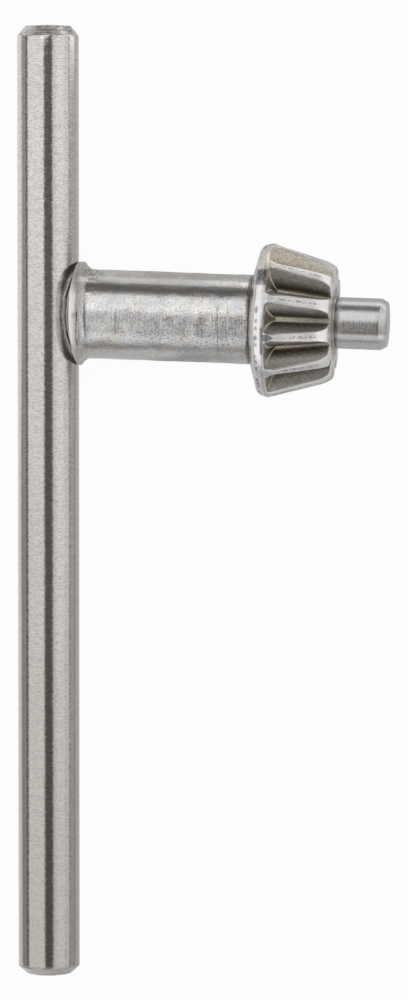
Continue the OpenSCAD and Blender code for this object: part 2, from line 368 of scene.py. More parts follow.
class KeyForm:
    """The key as rings of points. Places are mm along the key's axis, counted from the bar's.

    A ring is made of tooth pitches, and each pitch of two mirrored halves. Half a pitch runs from the middle
    of a tooth space to the middle of a tooth, over the strip at the space's bottom, the flank, the worn edge
    and the crest.
    """

    # The steps over each of those parts, and the number of rings on the flare, the back's arc and the wall
    STRIP, FLANK, EDGE, CREST = 2, 9, 3, 4
    FLARE_RINGS, ARC_RINGS, WALL_RINGS = 10, 7, 11

    def __init__(self, sizes, bar_radius):
        self.sizes = s = sizes
        self.bar_radius = bar_radius
        self.lip_x = bar_radius + s.lip_gap
        self.land_x = self.lip_x + s.lip_land
        self.back_x = self.lip_x + s.shank_length
        band_radius = s.rim_radius - s.band_length * math.tan(s.band_angle)
        corner_radius = band_radius - s.back_corner * (math.cos(s.band_angle) - math.cos(s.back_angle))
        corner_x = self.back_x + (corner_radius - s.shank_radius) / math.tan(s.back_angle)
        slopes = np.linspace(s.back_angle, s.band_angle, self.ARC_RINGS)
        self.back_arc = np.stack([
            corner_x + s.back_corner * (math.sin(s.back_angle) - np.sin(slopes)),
            corner_radius + s.back_corner * (np.cos(slopes) - math.cos(s.back_angle))], 1)
        self.rim_x = self.back_arc[-1, 0] + s.band_length
        self.crest_x = self.rim_x + s.rim_land
        self.nose_x = self.crest_x + s.crest_length
        self.nose_start = s.rim_radius - s.crest_length * math.tan(s.crest_angle)
        self.face_x = self.nose_x + s.nose_length
        self.face_radius = float(self.blank(self.face_x))
        self.collar_radius = s.pin_radius + s.collar_step
        self.closed_x = self.rim_x + s.space_start
        self.root_radius = s.rim_radius - s.space_depth
        self.root_x = self.closed_x + s.space_depth * math.tan(s.wall_angle)
        self.pitch = 2 * math.pi / s.tooth_count
        self.halves = self.STRIP + self.FLANK + self.EDGE + self.CREST
        self.even = np.linspace(0.0, self.pitch / 2, self.halves + 1)

    def blank(self, x):
        """Radius of the blank from the rim to the front face: a cylinder, a cone and an arc."""
        s = self.sizes
        cone = s.rim_radius - (x - self.crest_x) * math.tan(s.crest_angle)
        sine = math.sin(s.crest_angle) + np.clip(x - self.nose_x, 0, s.nose_length) / s.nose_radius
        nose = self.nose_start - s.nose_radius * (math.cos(s.crest_angle) - np.sqrt(1 - sine ** 2))
        return np.where(x < self.crest_x, s.rim_radius, np.where(x < self.nose_x, cone, nose))

    def front_face(self, radius):
        """Place of the front face at a radius: a flat cone from its edge to the collar."""
        share = (self.face_radius - radius) / (self.face_radius - self.collar_radius)
        return self.face_x + self.sizes.face_rise * share

    def space_floor(self, x, y):
        """Height of a tooth space's surface over the key's axis, y mm to the side of the space's middle.

        It is the higher of two surfaces. One is the V, run along the sloping root: a flat strip, then a
        circular arc on each side. The other is the leaning wall at the back, bent forward past the mouth's
        half width. The second value says where the wall is the higher.
        """
        s = self.sizes
        off_centre = s.root_width / 2 + s.flank_radius * math.cos(s.flank_lean) - y
        arc = np.sqrt(np.maximum(s.flank_radius ** 2 - off_centre ** 2, 0))
        climb = np.where(y > s.root_width / 2, arc - s.flank_radius * math.sin(s.flank_lean), 0)
        v = self.root_radius - (x - self.root_x) * math.tan(s.root_angle) + climb / math.cos(s.root_angle)
        ahead = np.clip((y - s.mouth_width / 2) / math.tan(s.mouth_angle), 0, s.mouth_flare)
        wall = (ahead - (x - self.root_x) * math.cos(s.wall_angle)) / math.sin(s.wall_angle)
        wall = wall + self.root_radius
        return np.maximum(v, wall), wall > v

    def section(self, x0, on_face=False):
        """Half a pitch across a tooth space, at the place x0 or, at the front, on the face's cone.

        The outline climbs the space's floor and then its side until it meets the blank at the mouth. On the
        cone, its places and heights are worked out from each other in a few rounds.
        """
        s = self.sizes
        across, above, rounds = 400, 80, 4 if on_face else 1
        side = s.root_width / 2 + s.flank_radius * (math.cos(s.flank_lean) - math.cos(s.crest_lean))
        y = np.append(np.linspace(0, side, across), np.full(above, side))
        climb = np.append(np.zeros(across), np.linspace(0, s.space_depth, above + 1)[1:])
        x = np.full(y.shape, float(x0))
        for _ in range(rounds):
            floor, walled = self.space_floor(x, y)
            z = floor + climb
            if on_face:
                x = self.front_face(np.minimum(np.hypot(y, z), self.face_radius))
        line = np.stack([x, y, z], 1)
        over = np.hypot(y, z) - self.blank(x0)
        last = int(np.argmax(over >= 0))
        share = over[last - 1] / (over[last - 1] - over[last])
        mouth = line[last - 1] + share * (line[last] - line[last - 1])
        foot = int(np.argmin(walled[:last])) if walled[0] else int(np.searchsorted(y, s.root_width / 2))
        foot = min(foot, last - 1)
        line = np.concatenate([line[:last], [mouth]])
        return self.worn(walk(line[:foot + 1], np.linspace(0, 1, self.STRIP + 1)[:-1]), line[foot:])

    def closed_end(self, drop):
        """Half a pitch along the edge where the leaning wall meets the rim.

        The rim curves away from the space's middle, so the wall meets it further forward there, by that
        fall times the tangent of the wall's lean. drop lowers the edge, as wear does.
        """
        s = self.sizes
        y = np.linspace(0, s.mouth_width / 2, self.STRIP + 1)
        z = np.sqrt(s.rim_radius ** 2 - y ** 2)
        x = self.closed_x + (s.rim_radius - z) * math.tan(s.wall_angle)
        line = np.stack([x, y, z - drop], 1)
        return self.worn(line[:-1], np.repeat(line[-1:], 2, 0))

    def worn(self, strip, side):
        """Strip and side, joined to the crest by a worn edge, a quadratic Bezier curve round the mouth.

        Where the crest or the side is short, the wear takes at most 0.3 of the one and half of the other.
        """
        mouth = side[-1]
        radius = math.hypot(mouth[1], mouth[2])
        turn = math.atan2(mouth[1], mouth[2])
        reach = along(side)[-1]
        wear = min(self.sizes.edge_wear, 0.3 * radius * (self.pitch / 2 - turn))
        kept = max(1 - wear / reach, 0.5) if reach > 0 else 1.0
        flank = walk(side, np.linspace(0, kept, self.FLANK + 1))
        turns = np.linspace(turn + wear / radius, self.pitch / 2, self.CREST)
        crest = np.stack([np.full(self.CREST, mouth[0]), radius * np.sin(turns), radius * np.cos(turns)], 1)
        t = (np.arange(1, self.EDGE + 1) / (self.EDGE + 1))[:, None]
        edge = (1 - t) ** 2 * flank[-1] + 2 * t * (1 - t) * mouth + t * t * crest[0]
        return np.concatenate([strip, flank, edge, crest])

    def turned(self, places, radii, turns=None):
        """Halves of a pitch on circles about the axis: point j of row i is turned by turns[i, j]."""
        places, radii = (np.asarray(value, float)[:, None] for value in (places, radii))
        turns = self.even if turns is None else turns
        return np.stack(np.broadcast_arrays(places, radii * np.sin(turns), radii * np.cos(turns)), -1)

    def whole(self, halves):
        """Halves of a pitch, mirrored and repeated round the axis, as rings of points."""
        pitch = np.concatenate([halves[:, :0:-1] * (1, -1, 1), halves[:, :-1]], 1)
        count = self.sizes.tooth_count
        turns = (self.sizes.tooth_phase - self.pitch * np.arange(count))[None, :, None]
        x, y, z = (part[:, None, :] for part in np.moveaxis(pitch, -1, 0))
        rings = np.stack([x + 0 * turns, y * np.cos(turns) - z * np.sin(turns),
                          y * np.sin(turns) + z * np.cos(turns)], -1)
        return rings.reshape(len(halves), -1, 3)

    def spread(self, values):
        """Values for the points of half a pitch, one row a ring, as values for the whole rings."""
        return np.tile(np.concatenate([values[:, :0:-1], values[:, :-1]], 1), (1, self.sizes.tooth_count))

    def weld(self):
        """Rings from the weld's seat on the bar, over its neck and fins and the hollow, to the lip.

        Seen along the key's axis a ring is a superellipse, |z / width|^n + |y / length|^n = 1. Its place is
        where that outline meets a cylinder round the bar's axis, but never past the hollow under the lip,
        which is a wider cylinder. A fin stands out unevenly, and fades where the hollow cuts it off. The
        second value numbers the rings at the fins' tips.
        """
        s = self.sizes
        fin_slope, lip_round = 0.03, 0.07
        circle = self.whole(self.turned([0.0], [1.0]))[0]
        side, up = circle[:, 1], circle[:, 2]
        half_length = s.lip_radius - s.weld_edge
        base = self.bar_radius - s.weld_inset
        hollow_radius = (s.lip_radius ** 2 + s.lip_droop ** 2) / (2 * s.lip_droop)

        def outline(width):
            """The superellipse that is width from its middle to its top."""
            power = s.weld_fullness
            reach = ((abs(up) / width) ** power + (abs(side) / half_length) ** power) ** (-1 / power)
            return reach * side, reach * up

        def along_key(square, y):
            """A place square to the bar, as one along the leaning key."""
            return (square - y * math.sin(s.key_lean)) / math.cos(s.key_lean)

        def hollow(y, z):
            """The places where an outline meets the hollow under the lip."""
            return along_key(self.lip_x - hollow_radius + np.sqrt(hollow_radius ** 2 - z ** 2), y)

        def ring(distance, y, z):
            """An outline laid on the cylinder at that distance from the bar's axis."""
            cylinder = along_key(np.sqrt(distance ** 2 - z ** 2), y)
            return np.stack([np.minimum(cylinder, hollow(y, z)), y, z], 1)

        y, z = outline(base)
        rings = [ring(self.bar_radius, share * y, share * z) for share in (0.35, 0.7, 1.0)]
        fin_tips = []
        for number, seed in enumerate((7, 9), 1):
            fin_tips += [len(rings) + 1, len(rings) + 2]
            inner = self.bar_radius + number * s.fin_pitch
            room = hollow(y, z) - ring(inner, y, z)[:, 0]
            uneven = 0.8 + 0.4 * Lumps(seed)(s.lip_radius * circle, size=1.3)
            stand = s.fin_height * uneven * smooth_step(room, 0.05, 0.25)
            steps = (0.0, fin_slope, s.fin_thickness - fin_slope, s.fin_thickness)
            for step, share in zip(steps, (0, 1, 1, 0)):
                rings.append(ring(inner + step, *outline(base + share * stand)))
        for share in (0.0, 0.4, 0.8, 1.0):
            rim = (s.lip_radius - lip_round) * np.stack([side, up])
            flat = (1 - share) * np.stack([y, z]) + share * rim
            rings.append(np.stack([hollow(*flat), *flat], 1))
        edge = hollow(s.lip_radius * side, s.lip_radius * up)
        for forward, inward in ((0.02, 0.02), (lip_round, 0.0)):
            radius = s.lip_radius - inward
            rings.append(np.stack([edge + forward, radius * side, radius * up], 1))
        return np.stack(rings), fin_tips

    def shank(self):
        """Halves of the lip's flare, the shank, the pinion's back and its band, up to the closed ends.

        The flare is (1 - t)^2 of its height at the share t of its length. In the last rows the points slide
        round the circle, from even steps to where the closed ends need them.
        """
        s = self.sizes
        t = np.linspace(0, 1, self.FLARE_RINGS)
        flare = np.stack([self.land_x + s.lip_flare * t,
                          s.shank_radius + (s.lip_radius - s.shank_radius) * (1 - t) ** 2], 1)
        tube = refine(np.array([flare[-1], (self.back_x - 0.3, s.shank_radius)]), step=0.34)[1:]
        fillet = round_corners([tube[-1], (self.back_x, s.shank_radius), self.back_arc[0]], reach=0.28)
        last_x = self.closed_x - s.edge_wear
        band = np.array([self.back_arc[-1], (self.rim_x, s.rim_radius), (last_x, s.rim_radius)])
        profile = np.concatenate([flare, tube, refine(fillet, step=0.3)[1:], self.back_arc[1:],
                                  refine(band, step=0.1)[1:]])
        edge = self.closed_end(0.0)
        slid = np.arctan2(edge[:, 1], edge[:, 2])
        share = smooth_step(profile[:, 0], self.closed_x - 0.6, last_x)[:, None]
        return self.turned(*profile.T, (1 - share) * self.even + share * slid)

    def teeth(self):
        """Halves of the pinion from the closed ends to the front face's edge, and how deep they lie."""
        s = self.sizes
        wall = np.linspace(self.closed_x + 0.1, self.root_x + 0.02, self.WALL_RINGS)
        run = refine(np.array([[wall[-1], 0.0], [self.face_x - 0.06, 0.0]]), step=0.18)[1:, 0]
        rows = [self.closed_end(0.3 * s.edge_wear)]
        rows += [self.section(x) for x in np.append(wall, run)]
        halves = np.stack(rows)
        depth = self.blank(halves[..., 0]) - np.hypot(halves[..., 1], halves[..., 2])
        return halves, np.maximum(depth, 0.0)

    def front(self):
        """Halves of the front face, blended from the teeth's outline to the collar, then collar and pin."""
        s = self.sizes
        outline = self.section(self.face_x, on_face=True)
        collar = self.turned([0.0], [self.collar_radius])[0]
        shares = np.array([0.025, 0.06, 0.3, 0.6, 0.85, 0.985])[:, None, None]
        face = (1 - shares) * outline + shares * collar
        face[..., 0] = self.front_face(np.hypot(face[..., 1], face[..., 2]))
        collar_x = self.face_x + s.face_rise
        neck_x = collar_x + s.collar_length
        pin_x = neck_x + s.neck_length
        tip_x = self.face_x + s.pin_length
        neck_radius, end_radius = s.pin_radius - s.neck_depth, s.pin_radius - s.pin_chamfer_depth
        eased, innermost = 0.05, 0.3
        profile = round_corners([
            (collar_x, self.collar_radius - eased), (collar_x, self.collar_radius),
            (neck_x, self.collar_radius), (neck_x, neck_radius), (pin_x, neck_radius), (pin_x, s.pin_radius),
            (tip_x - s.pin_chamfer_length, s.pin_radius), (tip_x, end_radius), (tip_x, innermost)], eased)
        pin = refine(profile, step=0.7)[1:]
        return np.concatenate([face, self.turned(*pin.T)])


def roughen(rings, edge, form):
    """The key's rings with forging hollows, nicks round the lip and a lap of torn flash on its flare.

    Hollows and nicks are noise. They sink the surface, so nothing stands past the turned sizes. The lap is a
    ridge, exp(-(d / width)^2) at the distance d from a wavy line round the flare, well inside the lip's
    radius.
    """
    s = form.sizes
    x = rings[..., 0]
    turn = np.arctan2(-rings[..., 1], rings[..., 2])
    hollows = smooth_step(Lumps(seed=11).layered(rings, size=1.9, layers=4), 0.25, 0.75)
    hollows *= smooth_step(x, form.land_x, form.land_x + 0.8)
    hollows *= 1 - smooth_step(x, form.face_x - 0.3, form.face_x)
    nicks = Lumps(seed=31)(rings, size=(0.5, 0.8, 0.8)) * smooth_step(x, form.lip_x, form.land_x)
    nicks = smooth_step(nicks, 0.62, 0.9) * (1 - smooth_step(x, form.land_x + 1, form.land_x + 3))
    sunk = s.forge_relief * hollows + s.nick_depth * nicks
    line = form.land_x + s.lap_place + 0.12 * np.sin(5 * turn)
    uneven = 0.3 + Lumps(seed=29)(rings, size=0.45)
    lap = s.lap_height * uneven * np.exp(-((x - line) / s.lap_width) ** 2)
    lap *= smooth_step(turn, s.lap_start, s.lap_start + 0.12)
    lap *= 1 - smooth_step(turn, s.lap_end - 0.15, s.lap_end)
    return relieve(rings, lap - sunk * (1 - 0.5 * edge))


def key_rings(form):
    """All of the key's rings, from the weld's seat to the pin's tip, with the marks that its steel reads.

    space_depth is how deep a point lies in a tooth space, in mm. worn_edge is 1 on the edges that rub, and
    root_strip 1 along the bottom of a space. crest_side is the way round from the middle of a tooth, in mm.
    """
    seat, fin_tips = form.weld()
    shank, (teeth, depth), front = form.shank(), form.teeth(), form.front()
    rings = np.concatenate([seat, form.whole(shank), form.whole(teeth), form.whole(front)])
    first = len(seat) + len(shank)
    rows = slice(first, first + len(teeth))
    columns = np.arange(form.halves + 1)
    start = form.STRIP + form.FLANK
    end = start + form.EDGE
    worn = np.interp(columns, (start - 1, start, end, end + 2), (0, 0.7, 1, 0.75))
    strip = np.interp(columns, (form.STRIP, form.STRIP + 0.8), (1, 0))
    corner = np.interp(abs(columns - form.STRIP), (0, 1), (1, 0))
    on_wall = teeth[:, :1, 0] < form.root_x + 0.05
    halves = {"space_depth": depth, "worn_edge": np.tile(worn, (len(teeth), 1)),
              "root_strip": np.where(on_wall, corner, strip)}
    marks = {name: np.zeros(rings.shape[:2]) for name in halves}
    for name, half in halves.items():
        marks[name][rows] = form.spread(half)
    lip_edge, closed_edge = (len(seat) - 2, len(seat) - 1), (first - 1, first)
    marks["worn_edge"][fin_tips] = 0.5
    marks["worn_edge"][[*lip_edge, *closed_edge]] = 1.0
    turned = np.arctan2(-rings[..., 1], rings[..., 2]) - form.sizes.tooth_phase + form.pitch / 2
    away = abs(turned % form.pitch - form.pitch / 2)
    marks["crest_side"] = np.hypot(rings[..., 1], rings[..., 2]) * (form.pitch / 2 - away)
    return roughen(rings, marks["worn_edge"], form), marks


class Wire:
    """An output socket that can stand in a Python expression: each operator adds one Math node."""

    def __init__(self, graph, socket):
        self.graph = graph
        self.socket = socket

    def math(self, operation, *values):
        """A Math node on this value and the others."""
        return self.graph.add("ShaderNodeMath", {"operation": operation}, self, *values)

    def __add__(self, other):
        return self.math("ADD", other)

    __radd__ = __add__

    def __sub__(self, other):
        return self.math("SUBTRACT", other)

    def __rsub__(self, other):
        return self.graph.add("ShaderNodeMath", {"operation": "SUBTRACT"}, other, self)

    def __mul__(self, other):
        return self.math("MULTIPLY", other)

    __rmul__ = __mul__

    def __truediv__(self, other):
        return self.math("DIVIDE", other)

    def __abs__(self):
        return self.math("ABSOLUTE")

    def __pow__(self, power):
        return self.math("POWER", power)

    def most(self, other):
        """The greater of this value and the other."""
        return self.math("MAXIMUM", other)

    def rise(self, low, high):
        """0 up to low and 1 from high on, with a smooth step between; low above high turns it round."""
        settings = {"interpolation_type": "SMOOTHSTEP", "clamp": True}
        step = self.graph.add("ShaderNodeMapRange", settings, self, min(low, high), max(low, high))
        return step if low < high else 1 - step

    def band(self, low, high, soft):
        """1 between low and high and 0 outside, with edges that are soft wide."""
        return self.rise(low - soft, low) * self.rise(high + soft, high)


class Graph:
    """The nodes of one material or world, made one call at a time.

    A shade is a wire or the name of one of the panel's colours.
    """

    def __init__(self, owner, colours=None):
        owner.use_nodes = True
        self.tree = owner.node_tree
        self.tree.nodes.clear()
        self.colours = colours

    def add(self, kind, settings, *inputs, output=0, **named):
        """Adds a node: settings first, then its sockets in order or by name. Returns one of its outputs."""
        node = self.tree.nodes.new(kind)
        for name, value in settings.items():
            setattr(node, name, value)
        for socket, value in list(zip(node.inputs, inputs)) + [(node.inputs[k], v) for k, v in named.items()]:
            self.feed(socket, value)
        return Wire(self, node.outputs[output]) if node.outputs else node

    def feed(self, socket, value):
        """Links a wire to the socket or sets the socket's value. None leaves it as it is."""
        if isinstance(value, Wire):
            self.tree.links.new(value.socket, socket)
        elif value is not None:
            socket.default_value = value

    def local(self, axes):
        """Object coordinates carried into axes, in mm, as a vector and its three numbers."""
        here = self.add("ShaderNodeTexCoord", {}, output="Object")
        vector = self.add("ShaderNodeMapping", {"vector_type": "TEXTURE"}, here,
                          tuple(axes.origin), axes.euler(), (MM, MM, MM))
        split = self.add("ShaderNodeSeparateXYZ", {}, vector)
        parts = [Wire(self, socket) for socket in split.socket.node.outputs]
        return vector, parts

    def mark(self, name):
        """A value that the mesh keeps for each point."""
        return self.add("ShaderNodeAttribute", {"attribute_name": name}, output="Fac")

    def noise(self, vector, lumps, detail=2.0, roughness=0.5, shift=0.0):
        """Noise from 0 to 1, about 0.5, with the given number of lumps a mm along each axis."""
        place = self.add("ShaderNodeVectorMath", {"operation": "MULTIPLY_ADD"}, vector, lumps, (shift,) * 3)
        return self.add("ShaderNodeTexNoise", {}, Vector=place, Scale=1.0, Detail=detail, Roughness=roughness)

    def cells(self, vector, scale):
        """Distance to the nearest of many strewn points in the plane of the vector's x and y, in cells."""
        settings = {"voronoi_dimensions": "2D", "feature": "F1"}
        return self.add("ShaderNodeTexVoronoi", settings, Vector=vector, Scale=scale)

    def mix(self, share, *shades):
        """The first of two shades where share is 0 and the second where it is 1."""
        node = self.tree.nodes.new("ShaderNodeMix")
        node.data_type = "RGBA"
        self.feed(node.inputs[0], share)
        sockets = [socket for socket in node.inputs if socket.type == "RGBA"]
        for socket, shade in zip(sockets, shades):
            self.feed(socket, shade if isinstance(shade, Wire) else (*getattr(self.colours, shade), 1.0))
        outputs = [socket for socket in node.outputs if socket.type == "RGBA"]
        return Wire(self, outputs[0])

    def lay(self, shade, *coats):
        """The shade with coats laid over it in turn. A coat is its cover, from 0 to 1, and its shade."""
        for cover, coat in coats:
            shade = self.mix(cover, shade, coat)
        return shade

    def bump(self, height, depth, normal=None):
        """A normal bent by a height from 0 to 1 that stands for depth mm."""
        return self.add("ShaderNodeBump", {}, Strength=1.0, Distance=depth * MM, Height=height, Normal=normal)

    def steel(self, shade, metallic, roughness, normal):
        """Ends the graph in one Principled surface."""
        shader = self.add("ShaderNodeBsdfPrincipled", {}, **{
            "Base Color": shade, "Metallic": metallic, "Roughness": roughness, "Normal": normal})
        self.add("ShaderNodeOutputMaterial", {}, Surface=shader)


def new_material(name, colours=None):
    """A new material and the graph of its nodes."""
    material = bpy.data.materials.new(name)
    return material, Graph(material, colours)


def ground_bar_steel(colours, sizes):
    """Centreless-ground rod: fine marks that run round the bar, a few deeper ones, faint tints along it, and a
    painted shade that darkens it towards its long end.

    The cropped end faces are rougher and darker, with streaks, and the chamfers are less metallic, with
    ragged dark marks. The long end is the cleaner one.
    """
    material, graph = new_material("ground_bar_steel", colours)
    point, (_, along_bar, _) = graph.local(BAR_AXES)
    fine = graph.noise(point, (1.8, 7.0, 1.8), roughness=0.6)
    coarse = graph.noise(point, (0.5, 2.2, 0.5), shift=7.0)
    grain = graph.noise(point, (4.2, 6.0, 4.2), shift=78.0)
    tint = graph.noise(point, (0.25, 0.05, 0.25), shift=3.0)
    streaks = graph.noise(point, (0.8, 1.0, 4.0), detail=3.0, shift=5.0)
    ragged = graph.noise(point, (0.5, 5.0, 1.5), detail=3.0, shift=19.0)
    half = sizes.bar_length / 2
    from_middle = along_bar - (sizes.short_arm - half)
    # Painted shade: the bar darkens from its short end to its long end, and the noise adds faint random tints
    shade_and_tint_drift = (from_middle / sizes.bar_length + 0.5 + 0.4 * (tint - 0.5)).rise(-0.1, 1.1)
    scored = (0.75 * fine + 0.25 * coarse).rise(0.4, 0.56)
    past_end = abs(from_middle) - half
    face = past_end.rise(-1.6 * sizes.end_dome - 0.2, -sizes.end_dome - 0.02)
    chamfer = past_end.rise(-sizes.short_chamfer - 0.15, -sizes.short_chamfer)
    torn = 0.3 + 0.7 * along_bar.rise(-1.0, 1.0)
    shade = graph.lay(
        "bar_tint",
        (shade_and_tint_drift, "bar_colour"),
        (0.34 * (1 - scored), "score_colour"),
        (0.4 * grain.rise(0.54, 0.68), "score_colour"),
        (face * torn * streaks.rise(0.45, 0.62), "torn_colour"),
        (0.7 * chamfer * torn * ragged.rise(0.5, 0.58), "torn_colour"))
    roughness = 0.05 + 0.15 * fine + 0.25 * face
    height = 0.6 * fine + 0.1 * coarse + 0.3 * grain
    graph.steel(shade, 1 - 0.55 * chamfer, roughness, graph.bump(height, depth=0.026))
    return material


class KeySteel:
    """Forged and turned steel: grained on the shank, dark and oily in the tooth spaces with a painted shade
    that deepens towards their roots, bright where it rubs.

    The spaces, their roots and the worn edges come from the mesh's marks, and the rest from the place along
    the key (x), to its side and up, in mm. Each zone and each kind of wear is a mask from 0 to 1. Of the
    noises, patches and lumps are wide, specks and grain are fine, and turned runs round the key.
    """

    # Scratches across the top of the shank: the place along the key, and the two ends to its side
    SCRATCHES = ((8.62, -1.8, 0.7), (20.4, -3.4, 1.6), (20.25, -1.0, 1.4), (21.4, -2.2, -0.2))
    SCRATCH_WIDTH = 0.03

    def __init__(self, colours, form):
        self.form = form
        self.material, self.graph = new_material("forged_key_steel", colours)
        graph = self.graph
        point, (self.x, self.side, self.up) = graph.local(KEY_AXES)
        self.radius = (self.side * self.side + self.up * self.up) ** 0.5
        self.depth, self.edge, self.root, self.crest = (graph.mark(name) for name in (
            "space_depth", "worn_edge", "root_strip", "crest_side"))
        self.lumps = graph.noise(point, (0.8, 0.8, 0.8), detail=3.0, roughness=0.55)
        self.grain = graph.noise(point, (3.64, 5.2, 5.2), detail=3.0, roughness=0.75)
        self.turned = graph.noise(point, (8.0, 0.5, 0.5), shift=11.0)
        self.specks = graph.noise(point, (3.0, 5.0, 5.0), shift=85.0)
        self.patches = graph.noise(point, (0.4, 0.4, 0.4), shift=9.2)
        self.top = self.up.rise(0.0, 1.0)
        self.space = self.depth.rise(0.04, 0.2)
        self.dry = (self.side - 1.16 * self.up).rise(-0.2, 0.4) * self.space
        self.pin = self.x.rise(form.face_x + 0.45, form.face_x + 0.6)

    def shank(self):
        """Grained and tinted steel, with specks, turning scratches, dirt where the pinion starts and a painted
        highlight along its top.
        """
        form, x, side, grain = self.form, self.x, self.side, self.grain
        warm = self.lumps.rise(0.45, 0.65) * (0.35 + 0.5 * side.rise(2.0, 4.0))
        dull_streak = side.band(2.8, 3.6, 0.4)
        # Painted highlight: a bright streak along the top of the shank, in the colour of the worn edges
        painted_highlight_streak = side.band(3.9, 4.3, 0.2) * self.top
        mottled = side.band(-2.6, -0.2, 1.2) * x.rise(5.0, 14.0)
        lip_pits = self.specks.rise(0.5, 0.6) * side.rise(4.0, 4.6) * x.band(4.6, 6.2, 0.4)
        turning = self.turned.rise(0.62, 0.7) * x.band(20.0, form.back_x, 3.0) * grain.rise(0.35, 0.55)
        width = self.SCRATCH_WIDTH
        scratches = (x.band(place, place + width, width) * side.band(low, high, 0.3) * self.top
                     for place, low, high in self.SCRATCHES)
        flare = x.band(form.land_x + 0.1, form.land_x + 1.1, 0.2) * grain.rise(0.4, 0.58)
        dirt = x.band(form.back_x - 0.15, form.back_x + 0.25, 0.25)
        return self.graph.lay(
            "key_colour",
            (self.patches.rise(0.42, 0.58), "key_cool"),
            (warm, "key_tint"),
            (0.36 * grain.rise(0.48, 0.66), "flank_colour"),
            (0.42 * dull_streak, "flank_colour"),
            (0.8 * painted_highlight_streak, "worn_and_highlight_colour"),
            (0.36 * (self.specks + 0.1 * mottled).rise(0.62, 0.74), "oxide_colour"),
            (0.8 * lip_pits.most(0.6 * turning), "oxide_colour"),
            *((0.75 * scratch, "oxide_colour") for scratch in scratches),
            (0.6 * flare, "flank_colour"),
            (dirt * (0.55 + 0.4 * self.specks.rise(0.4, 0.6)), "oil_colour"))

    def weld(self, shade):
        """Painted shade on the weld's neck under the lip, and in the crevice beside the lap on its flare.

        Seen along the key the shaded zone is a superellipse, a bit fuller than the neck's outline.
        """
        form, x = self.form, self.x
        power = form.sizes.weld_fullness
        height, width = form.bar_radius - 0.15, form.sizes.lip_radius
        outline = (abs(self.up) / height) ** power + (abs(self.side) / width) ** power
        # Painted shade: the weld under the lip is darkened where shade falls between its fins
        neck = x.rise(form.land_x - 0.15, form.land_x - 0.35) * outline.rise(1.8, 1.2)
        wavy = x + 0.22 * self.lumps + 0.08 * self.grain
        # Painted shade: a dark wavy line in the crevice beside the lap
        crevice = wavy.band(form.land_x + 0.28, form.land_x + 0.34, 0.05)
        crevice = crevice * self.side.band(-3.4, 0.45, 0.15) * self.top
        return self.graph.lay(
            shade,
            (neck * (0.7 + 0.3 * self.grain.rise(0.4, 0.6)), "weld_shade_colour"),
            (0.9 * crevice, "oxide_colour"))

    def rim(self, shade):
        """The bright pitted band, the dull belt in front of it, and a dull arrow on every tooth, belt and
        arrows with painted light and shade by their place round the key.

        The band's pits are strewn along a circle round the axis, 1.25 a mm. Each crest has a row of fine
        pits.
        """
        form, x, side, grain, graph = self.form, self.x, self.side, self.grain, self.graph
        start, end = form.back_arc[0, 0], form.rim_x - 0.1
        band = x.rise(start - 0.1, start + 0.15) * x.rise(end + 0.1, end)
        circle = graph.add("ShaderNodeCombineXYZ", {}, side / self.radius, self.up / self.radius, 0.0)
        cells = graph.cells(circle, scale=1.25 * form.sizes.rim_radius)
        off_row = (x - (start + end) / 2 - 0.3 * self.lumps + 0.1) * 2.0
        pit = (cells * cells + off_row * off_row) ** 0.5 + 0.5 * grain - 0.25
        past_band = x.rise(end, end + 0.08)
        belt = past_band * x.rise(form.closed_x + 0.02, form.closed_x - 0.06)
        half_width = 0.5 - 0.65 * (x - form.crest_x - 0.15).most(0.0)
        arrow = past_band * (half_width - self.crest - 0.1 * grain).rise(0.0, 0.07)
        # Painted light and shade: belt and arrows are dark a little to the key's right, pale far to its left
        # and cool grey elsewhere
        lit_and_shaded_facet = graph.lay("key_cool", (side.band(-3.4, -0.6, 0.3), "facet_and_shade_colour"),
                          (side.rise(6.0, 6.3), "root_dirt_and_light_colour"))
        shadowed = side.band(4.5, 5.9, 0.3) * x.rise(start, start + 0.3)
        shadowed = shadowed * x.rise(form.closed_x + 0.1, form.closed_x)
        row = self.crest.rise(0.17, 0.05) * x.rise(form.crest_x + 0.8, form.crest_x + 1.6)
        row = row * x.rise(form.nose_x + 1.0, form.nose_x) * (1 - self.space)
        return graph.lay(
            shade,
            (band * (0.9 - 0.3 * grain.rise(0.5, 0.7)), "worn_and_highlight_colour"),
            (0.45 * band * pit.rise(0.5, 0.34), "facet_and_shade_colour"),
            (0.5 * band * pit.band(0.1, 0.24, 0.08), "oil_colour"),
            (self.edge * (1 - 0.5 * self.space), "worn_and_highlight_colour"),
            (0.88 * belt.most(arrow) * (1 - self.space), lit_and_shaded_facet),
            (shadowed * (0.5 + 0.5 * grain.rise(0.4, 0.6)), "facet_and_shade_colour"),
            (0.6 * row * (self.specks + 0.25 * self.lumps).rise(0.6, 0.72), "oxide_colour"))

    def spaces(self, shade):
        """Grey-brown flanks with a painted shade that darkens them towards the root, and pale dirt along the
        root and in the corners.

        The spaces more than 49 degrees down the key's left side are full of a drier, paler dirt.
        """
        pale = self.root * (1 - 0.5 * self.x.rise(self.form.root_x, self.form.nose_x))
        oily_and_shaded = self.graph.lay(
            "flank_colour",
            # Painted shade: the flanks darken the deeper they lie
            (self.depth.rise(0.5, 2.2), "oil_colour"),
            (0.4 * self.grain.rise(0.45, 0.65), "key_tint"),
            (self.dry * (0.75 - 0.4 * self.specks.rise(0.5, 0.6)), "root_dirt_and_light_colour"),
            (pale * (0.75 + 0.25 * self.grain.rise(0.4, 0.6)), "root_dirt_and_light_colour"))
        return self.graph.mix(self.space * (1 - 0.5 * self.edge), shade, oily_and_shaded)

